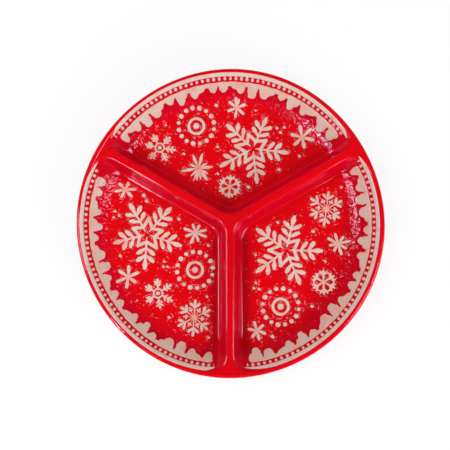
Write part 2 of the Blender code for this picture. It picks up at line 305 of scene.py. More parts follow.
# x, y and strokes of each motif, most from the (angle, length) of its arms
MOTIFS = [
    # Top well
    (-34.9, 100.4, medallion(12)),
    (6.9, 119.2, asterisk(((18, 9.8), (77, 8.4), (98, 9.6), (146, 10.0), (200, 10.2), (260, 10.3),
        (317, 10.3)), 1.35)),
    (73.8, 88.3, asterisk(((101, 12.4), (42, 12.7), (346, 13.1), (283, 12.1), (225, 11.9),
        (164, 12.2)), 1.65)),
    (-32.7, 56.7, burst(((113, 15.3, 1.45), (75, 16.1, 1.5), (31, 10.8, 1.0), (6, 15.1, 1.45),
        (329, 11.6, 1.15), (307, 16.0, 1.7), (282, 12.1, 1.25), (262, 12.7, 1.3),
        (248, 14.5, 0.75), (227, 11.5, 1.0), (190, 18.0, 1.45), (153, 9.9, 1.2)))),
    (-72.7, 78.1, ring_flake(((351, 17.0), (45, 15.6), (117, 15.1), (167, 15.0), (229, 15.2), (298, 15.7)))),
    (-0.5, 37.8, rosette(85, 12.0)),
    (23.2, 77.0, great_flake(((352.5, 37.4), (66, 35.3), (137, 37.2), (209, 38.6), (277, 36.6)),
        ((31, 16.1), (107, 15.5), (171, 17.8), (241, 16.3), (311, 17.0)))),
    # Left well
    (-107.8, 35.0, asterisk(((2, 11.4), (65, 8.6), (135, 9.6), (191, 11.2), (243, 9.8), (312, 10.6)), 1.45)),
    (-35.6, -9.5, asterisk(((107, 9.6), (61, 9.1), (14, 12.1), (339, 12.5), (290, 9.8), (246, 12.6),
        (201, 11.1), (160, 12.9)), 1.25)),
    (-35.9, -47.5, medallion(7)),
    (-104.3, -54.6, asterisk(((86, 11.7), (23, 11.9), (324, 10.6), (264, 11.7), (205, 12.8),
        (145, 11.8)), 1.55)),
    (-73.7, -71.3, ring_flake(((92, 15.0), (33, 16.3), (332, 17.3), (279, 15.8), (216, 14.4), (151, 15.0)))),
    (-36.7, -95.6, feather_flake(((86, 17.3), (24, 17.8), (318, 18.4), (266, 18.4), (208, 18.3),
        (142, 16.8)))),
    (-85.2, -11.0, great_flake(((341, 37.8), (48, 37.2), (120, 36.8), (195, 35.4), (266.5, 36.4)),
        ((13, 16.1), (84, 16.7), (157, 15.7), (232, 14.9), (305, 17.2)))),
    # Right well
    (98.3, 14.7, feather_flake(((83, 17.6), (28, 17.4), (324, 15.9), (260, 17.2), (201, 17.8), (146, 19.0)))),
    (109.8, -20.8, asterisk(((107, 11.3), (53, 9.6), (13, 12.4), (329, 10.1), (286, 12.3), (238, 9.2),
        (192, 9.5), (152, 12.2)), 1.3)),
    (94.8, -59.7, rosette(31, 12.7)),
    (51.1, -84.6, medallion(14)),
    (26.8, -108.7, asterisk(((107, 9.8), (39, 9.2), (342, 10.2), (285, 10.4), (235, 9.3), (172, 9.4)), 1.5)),
    (56.9, -27.5, great_flake(((359, 37.5), (76, 36.7), (144, 37.8), (216, 38.6), (292, 37.8)),
        ((39, 16.3), (113, 15.9), (180, 17.8), (250, 16.8), (322, 15.1)))),
]
# x, y and size of each loose dot
DOTS = [
    (-14.2, 121.2, 1.7), (26.1, 116.0, 1.2), (48.3, 98.0, 1.5), (55.8, 98.6, 1.5), (51.7, 93.3, 1.6),
    (71.2, 68.9, 1.6), (50.3, 55.0, 1.6), (18.9, 37.1, 1.8), (-13.1, 78.8, 1.5), (-66.3, 101.3, 1.1),
    (-12.6, 50.9, 1.4), (-47.8, 71.6, 1.3), (-88.5, 28.8, 2.0), (-85.7, 22.8, 1.9), (-118.1, 12.5, 1.5),
    (-113.8, 8.3, 1.5), (-119.2, 6.1, 1.5), (-52.5, 4.5, 1.7), (-22.2, -22.7, 1.6), (-112.4, -33.3, 1.5),
    (-67.2, -39.1, 1.3), (-68.2, -44.4, 1.3), (-64.0, -44.4, 1.4), (-94.6, -78.6, 1.0), (-62.3, -95.7, 1.5),
    (-21.8, -115.9, 1.5), (-23.6, -75.0, 1.3), (84.5, -8.4, 1.8), (113.4, 36.7, 1.3), (48.6, 0.8, 1.6),
    (25.8, -32.3, 1.3), (26.1, -60.8, 1.5), (24.0, -66.1, 1.5), (29.3, -66.9, 1.5), (96.5, -38.6, 1.4),
    (82.9, -84.3, 1.7), (42.9, -114.7, 2.0),
]
# Places where the slip is thin and shows pink: x, y, reach, strength
BLUSHES = [
    (6.9, 119.2, 3.2, 1.0), (73.8, 88.3, 3.0, 0.9), (-32.7, 55.5, 4.5, 0.8), (-0.5, 37.8, 4.5, 0.7),
    (-107.8, 35.0, 4.0, 0.9), (-35.6, -9.5, 3.6, 0.6), (-104.3, -54.6, 4.5, 0.6), (-36.7, -95.6, 4.5, 0.8),
    (98.3, 14.7, 4.5, 0.7), (109.8, -20.8, 3.4, 0.4), (94.8, -59.7, 4.5, 0.5), (26.8, -108.7, 3.6, 0.6),
    (-81.5, 68.0, 7.0, 0.8), (-29.0, 118.5, 3.0, 0.8), (-114.0, -20.5, 8.0, 0.9), (-47.0, -61.0, 3.0, 0.8),
    (-1.5, 60.5, 9.0, 0.5), (31.0, -43.0, 9.0, 0.4), (-74.0, -86.0, 5.0, 0.6),
]

# The wall's border: a pale line, beads under it and a band that runs in drips
LINE_R = 146.2
LINE_WIDTH = 3.2
BEAD_R = 144.3
BEAD = 1.48
BEAD_VARIES = 0.16
BEAD_STRAYS = 0.12
BEAD_FLATNESS = 1.16  # how much longer beads are along the wall than up it
NECK_HALF = 1.15
SOFT_JOIN = 0.3
BEAD_PITCH = {"top": 2.22, "left": 2.23, "right": 2.31}  # in degrees
BEAD_NECKS = {"top": 0.12, "left": 0.0, "right": 0.10}  # above 0 the beads grow necks to the line
BAND_R = 141.0
BAND_LEAST = 3.3
BEND_REACH = 15.0
BAND_END_SOFT = 4.0
INWARD = 1.25  # how far the line runs inside its circle, on average, and how much more at INWARD_MOST
INWARD_LEAN = 0.75
INWARD_MOST = radians(-30)
# How each well's border ends, on its clockwise side and on the other: where the line, the beads and the
# band stop, from the arm's middle, the length that the line tapers over, how far all bend in there
BORDER_ENDS = {
    "top": ((14.3, 17.8, 19.8, 9.0, 1.2), (16.5, 16.8, 18.1, 9.0, 0.8)),
    "left": ((13.6, 19.2, 25.0, 22.0, 0.9), (14.6, 15.8, 16.2, 9.0, 2.2)),
    "right": ((13.9, 16.4, 18.5, 26.0, 1.7), (7.4, 10.5, 13.5, 12.0, 0.9)),
}
# The band's drips come from a stamp of eight that repeats clockwise. Each drip: where it begins and where
# its tip is, as shares of the stamp's length, how far it hangs, and on which side it has a long shoulder.
STAMP = (
    (0.000, 0.101, 9.2, -1), (0.154, 0.204, 12.1, 0), (0.256, 0.316, 10.5, 1), (0.418, 0.468, 7.2, 0),
    (0.517, 0.562, 11.3, 1), (0.643, 0.692, 9.7, 1), (0.812, 0.863, 8.0, 0), (0.904, 0.950, 8.3, 0),
)
# Both in degrees
STAMP_START = {"top": 139.1, "left": 258.5, "right": 380.2}
STAMP_LENGTH = {"top": 48.7, "left": 49.2, "right": 49.9}
FIRST_DRIP = (-0.095, -0.045, 8.7, 0)
LAST_DRIPS = {
    "top": ((0.813, 0.897, 12.0, -1), (0.951, 1.013, 10.5, 1)),
    "left": STAMP[-2:],
    "right": ((0.822, 0.881, 9.4, 0), (0.931, 0.982, 12.3, 1)),
}
LAST_END = 2.10
NOTCH_HALF = radians(0.13)
DRIP_STRAYS = 0.004  # in radians, as is DRIP_STEP
DRIP_STEP = 0.002
# How high the motifs, the band and the line with its beads stand
SLIP_RISE = 0.62
BAND_RISE = 0.5
LINE_RISE = 0.45
SHOULDER = 1.1  # how wide a raised edge is
WORKED_R = 140.5  # the ground beyond isn't worked


def wander(x, y, wave, phase):
    """A smooth, irregular value from -1 to 1 that changes over about one wave."""
    k = 2 * pi / wave
    value = np.sin(k * (x + 0.31 * y) + phase) + np.sin(k * (1.13 * y - 0.42 * x) + 2.1 * phase + 1.3)
    value = value + np.sin(k * 1.71 * (0.8 * x - 0.63 * y) + 3.7 * phase) * 0.6
    return value / 2.6


def strokes_distance(x, y, strokes):
    """Distance to the nearest stroke's edge, negative inside it, and no more than FAR."""
    best = np.full(x.shape, FAR)
    for ax, ay, bx, by, near, far in strokes:
        dx, dy = bx - ax, by - ay
        share = share_of((x - ax) * dx + (y - ay) * dy, dx * dx + dy * dy)
        reach = np.hypot(x - ax - share * dx, y - ay - share * dy) - (near + (far - near) * share)
        best = np.minimum(best, reach)
    return best


def motif_size(strokes):
    return max(max(hypot(s[0], s[1]) + s[4], hypot(s[2], s[3]) + s[5]) for s in strokes)


PLACED = [(x, y, motif_size(strokes) + FAR, strokes) for x, y, strokes in MOTIFS]
for x, y, size in DOTS:
    PLACED.append((x, y, size + FAR, [dot(-0.3, 0.2, 0.92 * size), dot(0.35, -0.25, 0.8 * size)]))


def motif_distance(x, y):
    """Distance to the nearest motif's edge, negative inside it, and no more than FAR."""
    wx = x + 0.22 * wander(x, y, 7.0, 0.4) + 0.10 * wander(x, y, 2.3, 1.9)
    wy = y + 0.22 * wander(y, x, 7.0, 2.6) + 0.10 * wander(y, x, 2.3, 4.1)
    distance = np.full(x.shape, FAR)
    for cx, cy, reach, strokes in PLACED:
        near = (np.abs(x - cx) < reach) & (np.abs(y - cy) < reach)
        if near.any():
            found = strokes_distance(wx[near] - cx, wy[near] - cy, strokes)
            distance[near] = np.minimum(distance[near], found)
    return distance


def band_drips(well):
    """A well's drips: begin, tip and end in radians clockwise from the first stamp, hang and shoulder."""
    second = [(begin + 1, tip + 1, hang, side) for begin, tip, hang, side in STAMP[:-2] + LAST_DRIPS[well]]
    drips = [FIRST_DRIP, *STAMP, *second]
    ends = [drip[0] for drip in drips[1:]] + [LAST_END]
    length = radians(STAMP_LENGTH[well])
    return [(d[0] * length, d[1] * length, end * length, d[2], d[3]) for d, end in zip(drips, ends)]


def drip_depth(turn, drips):
    """How far the band runs in: drips parted by sharp notches, the long ones with square ends."""
    depth = np.full(turn.shape, BAND_LEAST)
    for begin, tip, end, hang, shoulder in drips:
        before, after = tip - begin - NOTCH_HALF, end - tip - NOTCH_HALF
        off = turn - tip
        core = min(before, after)
        near = np.where(off < 0, core if shoulder < 0 else before, core if shoulder > 0 else after)
        square = 2.2 + 0.5 * max(hang - 7.3, 0) - 0.9 * abs(shoulder)
        depth = np.maximum(depth, hang * (1 - share_of(np.abs(off), near) ** square) ** (1 / 1.4))
        if shoulder:
            share = share_of(off * shoulder, after if shoulder > 0 else before)
            sloping = hang * (0.76 - 0.27 * share) * (1 - share**9)
            depth = np.maximum(depth, np.where(off * shoulder > 0, sloping, 0))
    return depth


def well_start(well):
    """The direction of a well's clockwise side."""
    return radians(WELL_ANGLES[well]) - HALF_WELL


def bead_distance(well, r, angle, line_r, bead_r):
    """Distance to the beads. Sines of a bead's number stand in for chance."""
    middle = WELL_ANGLES[well]
    pitch = radians(BEAD_PITCH[well])
    index = np.round(angle / pitch)
    jitter = np.sin(index * 12.9 + middle)
    across = (angle - (index + 0.06 * jitter) * pitch) * r
    size = BEAD + BEAD_VARIES * np.sin(index * 7.3 + middle)
    bead = np.hypot(BEAD_FLATNESS * (r - bead_r - BEAD_STRAYS * jitter), across) - size
    neck = np.clip(BEAD_NECKS[well] + 0.5 * np.sin(index * 0.23 + middle), 0, 1)
    between = np.maximum(np.abs(across) - NECK_HALF * neck, np.abs(r - line_r + 1) - 1.2)
    return soft_min(bead, between + 0.5 * (neck <= 0), SOFT_JOIN)


def band_distance(well, x, y, r, angle, inward):
    """Distance to the band between its ends: a wavy outer edge and an inner edge that hangs in drips."""
    drips = band_drips(well)
    strays = DRIP_STRAYS * wander(x, y, 5.0, 3.0)
    clockwise = radians(STAMP_START[well]) - angle - well_start(well) - strays
    clockwise = (clockwise + 0.5) % FULL_TURN - 0.5
    depth = drip_depth(clockwise, drips)
    growth = drip_depth(clockwise + DRIP_STEP, drips) - drip_depth(clockwise - DRIP_STEP, drips)
    lean = growth / (2 * DRIP_STEP * r)
    inner = (BAND_R - depth - r) / np.sqrt(1 + lean**2)
    outer = r - BAND_R + 0.3 * inward - 0.4 - 0.25 * wander(x, y, 14.0, 5.0)
    return np.maximum(inner, outer)


def well_border(well, x, y, radius, angle):
    """Distances to a well's band and to its line and beads. angle is from the well's clockwise side."""
    half_width = np.full(radius.shape, LINE_WIDTH / 2)
    past = np.full((3, len(radius)), -FAR)
    bend = np.zeros(radius.shape)
    for (*stops, taper, most), turn_in in zip(BORDER_ENDS[well], (angle, 2 * HALF_WELL - angle)):
        to_end = radius * np.sin(np.minimum(turn_in, 1.5))
        bend = bend + most * np.exp(-(to_end - FOOT) / BEND_REACH)
        half_width = np.minimum(half_width, LINE_WIDTH / 2 * np.sqrt(share_of(to_end - stops[0], taper)))
        past = np.maximum(past, np.array(stops)[:, None] - to_end)
    past_line, past_beads, past_band = past
    r = radius + bend
    inward = INWARD + INWARD_LEAN * np.cos(angle + well_start(well) - INWARD_MOST)
    line_r = LINE_R - inward
    pale = np.maximum(np.abs(r - line_r - half_width) - half_width, past_line)
    bead = np.maximum(bead_distance(well, r, angle, line_r, BEAD_R - 0.8 * inward), past_beads)
    band = -soft_min(-band_distance(well, x, y, r, angle, inward), -past_band, BAND_END_SOFT)
    return band, soft_min(pale, bead, SOFT_JOIN)


def border_distance(x, y):
    """Distances to the band's edge and to the edge of the line and beads, negative inside them."""
    radius = np.hypot(x, y)
    turn = np.arctan2(y, x) % FULL_TURN
    band, line = np.full((2, len(x)), FAR)
    for well in WELL_ANGLES:
        angle = (turn - well_start(well)) % FULL_TURN
        here = (angle <= 2 * HALF_WELL) & (radius > FLAT_R - 2)
        if here.any():
            to_band, to_line = well_border(well, x[here], y[here], radius[here], angle[here])
            band[here] = np.minimum(band[here], to_band)
            line[here] = np.minimum(line[here], to_line)
    return band, line


def rise(distance, height):
    """A raised, round-shouldered profile: full height inside the edge and none outside it."""
    share = share_of(0.45 * SHOULDER - distance, SHOULDER)
    return height * share * share * (3 - 2 * share)


def ornament(x, y):
    """Three values at each point: how far the surface is raised, the depth inside the slip's edge, and
    how open the ground is, from 0 beside the border, where no stray marks lie, to 1 away from it."""
    floor = motif_distance(x, y)
    band, line = border_distance(x, y)
    relief = rise(floor, SLIP_RISE) + rise(band, BAND_RISE) + rise(line, LINE_RISE)
    slip = -np.minimum(np.minimum(band, line), floor)
    return relief, slip, share_of(band - 2.0, 3.0)


def tooling(x, y):
    """How far the ground is worked: 1 round the motifs, more in one rough corner of the top well, less
    on the divider's sides and 0 on its crest and the rim."""
    offset = divider_offset(x, y)
    floor = share_of(offset - FOOT, 2.5)
    side = 0.16 * share_of(offset - CREST - EDGE_ARC, 3.0)
    rough_corner = np.exp(-(np.hypot(x + 118, y - 55) / 28) ** 2)
    return np.maximum(floor, side) * share_of(WORKED_R - np.hypot(x, y), 2.5) * (1 + 0.7 * rough_corner)


def shade_and_pooling(x, y):
    """1 where painted shade darkens the red: at the divider's foot on some sides, partly pooled glaze, and in
    a hub corner, on a wall and on the crest.
    """
    off = divider_offset(x, y)
    near_foot = np.exp(-(((off - 16.0) / 4.2) ** 2))
    angle = np.degrees(np.arctan2(y, x)) % 360
    from_lower = np.abs(angle - ARM_ANGLES["lower"])
    strength = np.where(from_lower < 60, 0.85 * share_of(55 - from_lower, 15), 0)
    top_side = share_of(60 - np.abs(angle - WELL_ANGLES["top"]), 6)
    # Painted shade in the top well's corner by the hub
    corner = np.exp(-(((x + 1.0) / 9.0) ** 2) - ((y - 22.0) / 6.0) ** 2)
    # Painted shade on the right well's wall
    from_right = np.abs((angle - WELL_ANGLES["right"] + 180) % 360 - 180)
    wall = 0.45 * share_of(np.hypot(x, y) - FLAT_R, 10) * share_of(52 - from_right, 15)
    # Painted shade on the divider's crest, away from the top well
    crest = 0.28 * np.clip(CREST + EDGE_ARC - off, 0, 1) * share_of(y - 40, -60)
    # Painted shade at the divider's foot, partly pooled glaze, strongest beside the lower arm
    foot_shade_and_pools = near_foot * np.maximum(strength, 0.45 * top_side)
    return np.maximum.reduce([foot_shade_and_pools, corner, wall, crest])


def blush(x, y):
    """How pink the slip is, from 0 to 1."""
    value = np.zeros(x.shape)
    for cx, cy, reach, strength in BLUSHES:
        value = np.maximum(value, strength * np.exp(-((x - cx) ** 2 + (y - cy) ** 2) / reach**2))
    return value


# Points with their normals and paint, sampled from the surface

# The last paint value darkens the red: painted shade, partly pooled glaze
PAINTS = ("slip", "worked", "pink", "shade_and_pool")
# One line of points across a piece, with a normal for each and a column of values for each of PAINTS
Row = namedtuple("Row", "points normals paint")


def painted(count, slip=-FAR, worked=0.0, pink=0.0, shade_and_pool=0.0):
    return np.stack([np.broadcast_to(value, count) for value in (slip, worked, pink, shade_and_pool)], 1)


def unit(vectors):
    return vectors / np.linalg.norm(vectors, axis=1, keepdims=True)


def slopes(height, x, y):
    h = STENCIL
    along_x = height(x + h, y) - height(x - h, y)
    along_y = height(x, y + h) - height(x, y - h)
    return along_x / (2 * h), along_y / (2 * h)


def upper(x, y):
    """The decorated upper surface over plan points inside the rim's joint, as one Row."""
    relief, slip, away = ornament(x, y)
    zx, zy = slopes(plain_height, x, y)
    fx, fy = slopes(lambda x, y: ornament(x, y)[0], x, y)
    square = 1 + zx**2 + zy**2
    plain = np.stack([-zx, -zy, np.ones_like(zx)], 1) / np.sqrt(square)[:, None]
    along_x = ((1 + zy**2) * fx - zx * zy * fy) / square
    along_y = ((1 + zx**2) * fy - zx * zy * fx) / square
    climb = np.stack([along_x, along_y, zx * along_x + zy * along_y], 1)
    points = np.stack([x, y, plain_height(x, y)], 1) + plain * relief[:, None]
    worked = tooling(x, y) * (0.45 + 0.55 * away)
    return Row(points, unit(plain - climb), painted(len(x), slip, worked, blush(x, y), shade_and_pooling(x, y)))


def lower(x, y):
    """The plain underside over plan points inside the rim's joint, as one Row."""
    radius = np.hypot(x, y)
    h = STENCIL
    slope = (swept(radius + h, SWEEP + BODY) - swept(radius - h, SWEEP + BODY)) / (2 * h)
    share = slope / np.maximum(radius, 1e-6)
    normals = unit(np.stack([x * share, y * share, -np.ones_like(x)], 1))
    return Row(np.stack([x, y, swept(radius, SWEEP + BODY)], 1), normals, painted(len(x)))


def leaning(points):
    """The points with the fired clay's slight lean: the wall and lip stand out or in a little."""
    x, y = points[:, 0], points[:, 1]
    angle, radius = np.arctan2(y, x), np.hypot(x, y)
    share = share_of(radius - FLAT_R, LIP_R - FLAT_R) ** 1.5
    lean = sum(size * np.cos(count * (angle - radians(peak))) for count, size, peak in LEAN)
    grown = 1 + share * lean / np.maximum(radius, FLAT_R)
    return np.stack([x * grown, y * grown, points[:, 2]], 1)


def plan(angles, radius):
    return radius * np.cos(angles), radius * np.sin(angles)


def outward(angles, out, up):
    """Vectors in the directions of the angles, so far out and so far up."""
    return np.stack([np.cos(angles) * out, np.sin(angles) * out, np.full(len(angles), up)], 1)


def sampled(surface, rows):
    """One Row for each (angles, radius), all taken from the surface in one go."""
    x, y = (np.concatenate(values) for values in zip(*(plan(*row) for row in rows)))
    cuts = np.cumsum([len(angles) for angles, _ in rows])[:-1]
    return [Row(*parts) for parts in zip(*(np.split(field, cuts) for field in surface(x, y)))]


def steps(length, spacing):
    return max(1, ceil(length / spacing))


def well_angles(middle, radius, spacing):
    """Directions of the points on an arc across one well, from arm to arm."""
    reach = HALF_WELL - asin(FOOT / radius)
    return radians(middle) + np.linspace(-reach, reach, steps(2 * reach * radius, spacing) + 1)


def crest_half(angle, radius):
    """Half the width of an arm's crest at a radius, wider where it runs into the rim."""
    narrow, wide = 0.0, FOOT
    for _ in range(HALVINGS):
        middle = (narrow + wide) / 2
        x, y = plan(np.array([angle + asin(middle / radius)]), radius)
        inside = divider_offset(x, y)[0] < CREST
        narrow, wide = (middle, wide) if inside else (narrow, middle)
    return min(wide, 0.94 * FOOT)


def arm_angles(angle, radius, fine=True):
    """Directions of the points across one arm at a radius."""
    middle = radians(angle)
    if not fine:
        return middle + np.arcsin(np.linspace(-FOOT, FOOT, ROUGH_COLUMNS + 1) / radius)
    crest = crest_half(middle, radius)
    side = np.linspace(crest, FOOT, SIDE_COLUMNS + 1)
    top = np.linspace(-crest, crest, CREST_COLUMNS + 1)[1:-1]
    return middle + np.arcsin(np.concatenate([-side[::-1], top, side]) / radius)


def wall_radii(spacing):
    """Radii from the flat floor's edge to the rim's joint, evenly spaced along the surface."""
    arc_length = SWEEP * SLOPE
    slope_length = (JOINT_R - FLAT_R - SWEEP * sin(SLOPE)) / cos(SLOPE)
    along = np.linspace(0, arc_length + slope_length, steps(arc_length + slope_length, spacing) + 1)
    bend = np.minimum(along, arc_length) / SWEEP
    radii = FLAT_R + SWEEP * np.sin(bend) + np.maximum(along - arc_length, 0) * cos(SLOPE)
    radii[0], radii[-1] = FLAT_R, JOINT_R
    return radii


def floor_radii(spacing):
    return np.linspace(HUB_R, FLAT_R, steps(FLAT_R - HUB_R, spacing) + 1)


def around(radius, fine):
    """Directions all the way round at a radius, through the points of all the pieces that meet there."""
    spacing = FINE if fine else ROUGH
    parts = []
    for arm, well in zip(("upper_right", "upper_left", "lower"), ("top", "left", "right")):
        arm_part = arm_angles(ARM_ANGLES[arm], radius, fine)
        well_part = well_angles(WELL_ANGLES[well], radius, spacing)
        parts += [arm_part[:-1], well_part[:-1]]
    return np.concatenate(parts)


def even_angles(count):
    return np.arange(count) * 2 * pi / count


# Meshes

def new_object(name, data):
    made = bpy.data.objects.new(name, data)
    bpy.context.scene.collection.objects.link(made)
    return made


def places(points, closed):
    """How far along its row each point lies: by direction in a closed row, by number in an open one."""
    if not closed or len(points) == 1:
        return np.linspace(0, 1, len(points))
    turn = np.unwrap(np.arctan2(points[:, 1], points[:, 0]))
    return (turn - turn[0]) / FULL_TURN


def stitch(first, second, closed=False, place=None):
    """Triangles between two rows of vertex numbers, which step along both rows evenly or by place."""
    a, b = np.asarray(first), np.asarray(second)
    at_a, at_b = (np.linspace(0, 1, len(row)) if place is None else place[row] for row in (a, b))
    if closed and len(a) > 1:
        a, at_a = np.append(a, a[0]), np.append(at_a, 1)
    if closed and len(b) > 1:
        b, at_b = np.append(b, b[0]), np.append(at_b, 1)
    reached = np.concatenate([at_a[1:], at_b[1:]])
    on_first = np.arange(len(reached)) < len(a) - 1
    on_first = on_first[np.argsort(reached, kind="stable")]
    i = np.cumsum(on_first) - on_first
    j = np.cumsum(~on_first) - ~on_first
    third = np.where(on_first, a[np.minimum(i + 1, len(a) - 1)], b[np.minimum(j + 1, len(b) - 1)])
    return np.stack([a[i], b[j], third], 1)


def make_piece(name, node, top, low, closed=False, map_style="plan", slot="red_glaze"):
    """A closed solid from rows of its upper side and rows of its lower side, in the place of a node."""
    rows = [*top, *low]
    starts = np.cumsum([0] + [len(row.points) for row in rows])
    numbers = [np.arange(start, end) for start, end in zip(starts, starts[1:])]
    over, under = numbers[: len(top)], numbers[len(top):]
    place = np.concatenate([places(row.points, closed) for row in rows])
    faces = [stitch(first, second, closed, place) for first, second in zip(over, over[1:])]
    upper_count = sum(map(len, faces))
    faces += [stitch(first, second, closed, place)[:, ::-1] for first, second in zip(under, under[1:])]
    surface_count = sum(map(len, faces))
    faces.append(stitch(over[-1], under[-1], closed, place))
    if len(over[0]) > 1:
        faces.append(stitch(over[0], under[0], closed, place)[:, ::-1])
    if not closed:
        left, right = ([[row[end] for row in side] for side in (over, under)] for end in (0, -1))
        faces += [stitch(*left), stitch(*right)[:, ::-1]]
    points, normals, paint = (np.concatenate(field) for field in zip(*rows))
    mesh = bpy.data.meshes.new(name)
    mesh.from_pydata((leaning(points) * MM).tolist(), [], np.concatenate(faces).tolist())
    mesh.shade_smooth()
    for field, values in zip(PAINTS, paint.T):
        layer = mesh.attributes.new(field, "FLOAT", "POINT")
        layer.data.foreach_set("value", values.astype(np.float32))
    lay_out(mesh, rows, starts, len(top), (upper_count, surface_count), closed, map_style)
    mesh.normals_split_custom_set_from_vertices(normals.tolist())
    mesh.materials.append(MATERIALS[slot])
    piece = new_object(name, mesh)
    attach(piece, "root")
    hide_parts(node)


def row_heights(rows):
    """How far each row's middle and radius have moved since the first row, added up."""
    moves = [0]
    for a, b in zip(rows, rows[1:]):
        wider = np.hypot(*b.points[:, :2].T).mean() - np.hypot(*a.points[:, :2].T).mean()
        moves.append(np.linalg.norm(b.points.mean(0) - a.points.mean(0)) + abs(wider))
    return np.cumsum(moves)


def lay_out(mesh, rows, starts, top_count, counts, closed, style):
    """The map for baking: upper side over most of the square, lower side above it, joints on top."""
    row_of = np.repeat(np.arange(len(rows)), np.diff(starts))
    if style == "plan":
        flat = np.concatenate([row.points[:, :2] for row in rows])
        base = (flat - flat.min(0)) / (flat.max(0) - flat.min(0))
    else:
        share = np.concatenate([np.linspace(0, 1, len(row.points)) for row in rows])
        heights = row_heights(rows)
        base = np.stack([share, heights[row_of] / heights[-1]], 1)
    corner = np.zeros(len(mesh.loops), np.int32)
    mesh.loops.foreach_get("vertex_index", corner)
    face_of = np.repeat(np.arange(len(mesh.polygons)), 3)
    region = (face_of >= counts[0]) * 1 + (face_of >= counts[1])
    u, v = base[corner, 0], base[corner, 1]
    v = np.where(region == 2, row_of[corner] >= top_count, v)
    if style != "plan":
        split = heights[top_count - 1] / heights[-1]
        v = np.where(region == 0, v / split, np.where(region == 1, (v - split) / max(1 - split, 0.01), v))
        if closed:  # the last triangles of a row run on past its end, not back to the start
            u = u.reshape(-1, 3)
            wraps = (u.max(1) - u.min(1)) > 0.5
            u[wraps] = np.where(u[wraps] < 0.5, 1.0, u[wraps])
            u = u.ravel()
    low_v, high_v = (np.array(edge)[region] for edge in zip(*MAP_BANDS))
    u = MAP_EDGE + (1 - 2 * MAP_EDGE) * u
    v = low_v + (high_v - low_v) * np.clip(v, 0, 1)
    layer = mesh.uv_layers.new(name="OFBake")
    layer.uv.foreach_set("vector", np.stack([u, v], 1).astype(np.float32).ravel())


# Nodes of the materials and the world

class Value:
    """A node's output, with short ways to add the nodes that work on it."""

    def __init__(self, socket):
        self.socket = socket
        self.tree = socket.id_data

    def maths(self, operation, *others):
        return add(self.tree, "Math", dict(enumerate((self, *others))), operation=operation)

    def __add__(self, other):
        return self.maths("ADD", other)

    def __sub__(self, other):
        return self.maths("SUBTRACT", other)

    def __mul__(self, other):
        return self.maths("MULTIPLY", other)

    def scaled(self, factor, added):
        return self.maths("MULTIPLY_ADD", factor, added)

    def fade(self, low, high):
        """0 at low and 1 at high, smooth in between."""
        ranged = {"Value": self, "From Min": low, "From Max": high}
        return add(self.tree, "MapRange", ranged, interpolation_type="SMOOTHSTEP")

    def blend(self, first, second):
        """The first colour where this value is 0 and the second where it is 1."""
        return add(self.tree, "Mix", {0: self, 6: first, 7: second}, 2, data_type="RGBA")

    def noise(self, wave, detail, rough=0.5):
        """Noise from 0 to 1 at this place, which changes over about one wave, in millimetres."""
        values = {"Vector": self, "Scale": 1 / (wave * MM), "Detail": detail, "Roughness": rough}
        return add(self.tree, "TexNoise", values)

    def bump(self):
        """The normal that this height, in millimetres, gives."""
        return add(self.tree, "Bump", {"Height": self, "Distance": MM, "Strength": 1.0})

    def sibling(self, name):
        """Another output of the same node."""
        return Value(self.socket.node.outputs[name])


def feed(made, values):
    """Sets a node's inputs to numbers and colours, and links those whose value is a Value."""
    for key, value in values.items():
        if isinstance(value, Value):
            made.id_data.links.new(value.socket, made.inputs[key])
        else:
            made.inputs[key].default_value = value


def add(tree, kind, values=None, output=0, **settings):
    """Adds a node and gives one of its outputs."""
    made = tree.nodes.new("ShaderNode" + kind)
    for key, value in settings.items():
        setattr(made, key, value)
    feed(made, values or {})
    return Value(made.outputs[output])


# Materials

RED = (0.715, 0.0005, 0.0048, 1)
CRIMSON_SHADE = (0.640, 0.0004, 0.0150, 1)
RED_DEEP = (0.440, 0.0004, 0.0060, 1)
RED_BRIGHT = (0.800, 0.0030, 0.0030, 1)
CREAM = (0.750, 0.562, 0.492, 1)
CREAM_WARM = (0.770, 0.460, 0.385, 1)
CREAM_GREY = (0.665, 0.540, 0.487, 1)
CREAM_SHADE_AND_GRAIN = (0.560, 0.380, 0.315, 1)
PINK = (0.800, 0.250, 0.185, 1)
SPECK_AND_GLINT = (0.830, 0.280, 0.310, 1)
CLAY = (0.52, 0.40, 0.29, 1)
CLAY_PALE = (0.66, 0.55, 0.43, 1)
CLAY_SAND = (0.30, 0.20, 0.13, 1)
TABLE_WHITE = (0.9, 0.9, 0.9, 1)
WHITE = (1, 1, 1, 1)
# The lines that echo a motif's edge, partly painted glints: distance out from it, wave of the breaks, how
# broken
ECHOES = ((1.35, 2.9, 0.58), (2.9, 3.5, 0.64), (4.5, 4.1, 0.70))
FLECK_PITCH = 2.3


def new_material(name):
    made = bpy.data.materials.new(name)
    made.use_nodes = True
    return made, made.node_tree, made.node_tree.nodes["Principled BSDF"]


def red_ground(where):
    """Red glaze: painted shade, a darker crimson, on steep faces, with pooled and thin places and a fine
    grain.
    """
    # Painted shade: the red turns a darker crimson as the surface steepens
    normal = add(where.tree, "NewGeometry", output="Normal")
    facing = add(where.tree, "SeparateXYZ", {0: normal}, 2)
    colour = facing.maths("ABSOLUTE").fade(0.96, 0.72).blend(RED, CRIMSON_SHADE)
    cloud = where.noise(38, 3).fade(0.45, 0.75) * 0.35
    colour = cloud.blend(colour, RED_DEEP)
    grain = where.noise(1.2, 2, 0.6)
    colour = (grain.fade(0.50, 0.75) * 0.40).blend(colour, RED_BRIGHT)
    return (grain.fade(0.48, 0.25) * 0.30).blend(colour, RED_DEEP)


